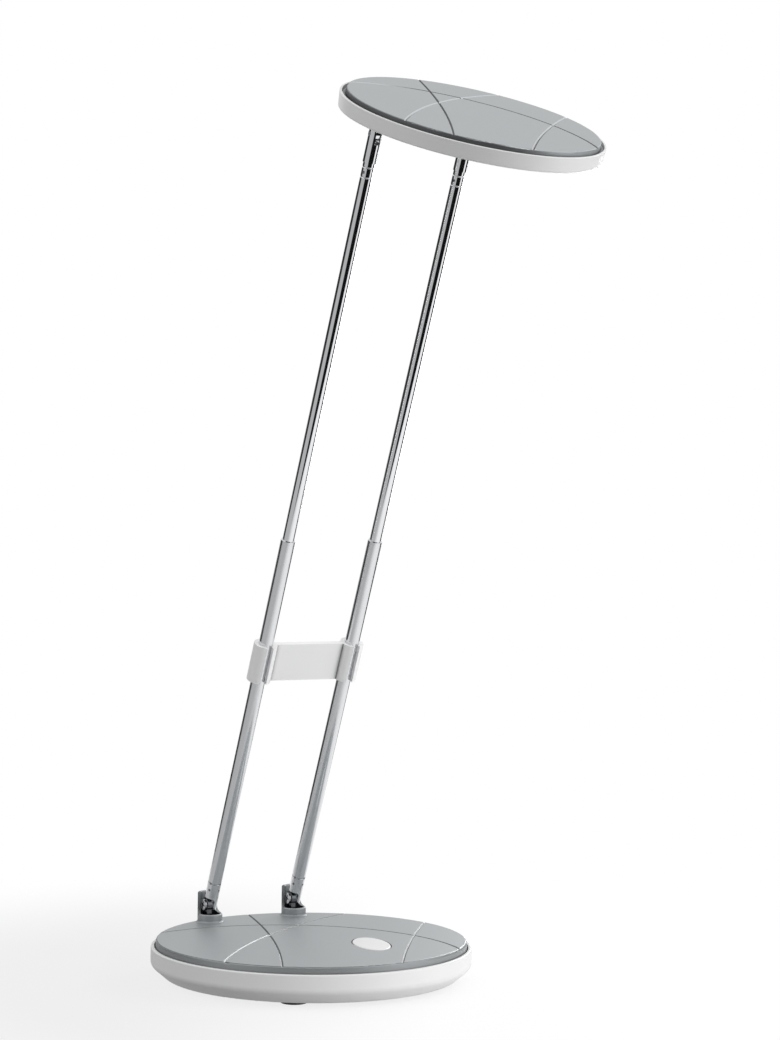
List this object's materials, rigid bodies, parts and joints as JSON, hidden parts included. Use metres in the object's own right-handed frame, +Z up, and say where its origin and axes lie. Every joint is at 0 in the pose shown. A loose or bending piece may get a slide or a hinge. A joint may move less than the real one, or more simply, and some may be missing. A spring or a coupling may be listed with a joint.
{
  "type": "desk lamp",
  "caption": "Folding desk lamp with a round weighted base, two telescopic chrome rods joined by a clip, and a flat round light head that tilts on the rods.",
  "frame": {"origin": "on the desk, below the middle of the round base", "axes": "+Z up from the desk, -Y towards the side that the head leans over, +X along the hinge pins to the side with the button"},
  "size_m": [0.134, 0.2341, 0.365],
  "materials": {
    "white_plastic": "satin",
    "grey_plastic": "satin",
    "chrome": "polished",
    "satin_chrome": "satin",
    "steel": "satin",
    "rubber": "matt",
    "board": "satin",
    "black_plastic": "matt",
    "brass": "satin",
    "wire": "satin",
    "diffuser": "frosted",
    "light_board": "satin",
    "led": "gloss",
    "pad": "matt"
  },
  "bodies": {
    "base": {"base_tray": "white_plastic", "base_cover": "grey_plastic", "ballast_plate": "steel", "base_feet": "rubber", "cable_grommet": "rubber", "control_board": "board", "board_components": "black_plastic", "push_switch": "black_plastic", "board_screws": "steel", "cover_screws": "steel", "ballast_screws": "steel", "hinge_cups": "grey_plastic", "hinge_lug_left": "chrome", "hinge_lug_right": "chrome", "lug_tags": "brass", "lug_nuts": "steel", "lug_wires": "wire"},
    "button": {"power_button": "white_plastic", "switch_plunger": "black_plastic"},
    "lower_rods": {"rod_end_left": "satin_chrome", "rod_end_right": "satin_chrome", "lower_tube_left": "satin_chrome", "lower_tube_right": "satin_chrome", "hinge_screws": "steel", "hinge_washers": "steel"},
    "upper_rods": {"upper_tube_left": "chrome", "upper_tube_right": "chrome", "slide_bushes": "brass", "top_fork_left": "chrome", "top_fork_right": "chrome", "head_pins": "steel"},
    "clip": {"rod_clip": "white_plastic"},
    "head": {"head_shell": "white_plastic", "head_cover": "grey_plastic", "diffuser": "diffuser", "led_board": "light_board", "leds": "led", "thermal_pad": "pad", "head_tongue_left": "chrome", "head_tongue_right": "chrome", "tongue_screws": "steel", "head_screws": "steel", "led_board_screws": "steel", "head_wires": "wire"}
  },
  "joints": [
    {"name": "arm_tilt", "type": "hinge", "parent": "base", "child": "lower_rods", "pos_m": [0, 0.055, 0.02444], "axis": [1, 0, 0], "range_deg": [-23.2, 66.8]},
    {"name": "rod_extend", "type": "slide", "parent": "lower_rods", "child": "upper_rods", "axis": [0, -0.3939, 0.9191], "range_m": [-0.138, 0.012]},
    {"name": "head_tilt", "type": "hinge", "parent": "upper_rods", "child": "head", "pos_m": [0, -0.08071, 0.34108], "axis": [1, 0, 0], "range_deg": [-90, 70]},
    {"name": "clip_slide", "type": "slide", "parent": "lower_rods", "child": "clip", "axis": [0, -0.3939, 0.9191], "range_m": [-0.089, 0.045]},
    {"name": "button_press", "type": "slide", "parent": "base", "child": "button", "axis": [0, 0, -1], "range_m": [0, 0.0012], "stiffness_N_per_m": 600, "springref_m": -0.0008}
  ]
}
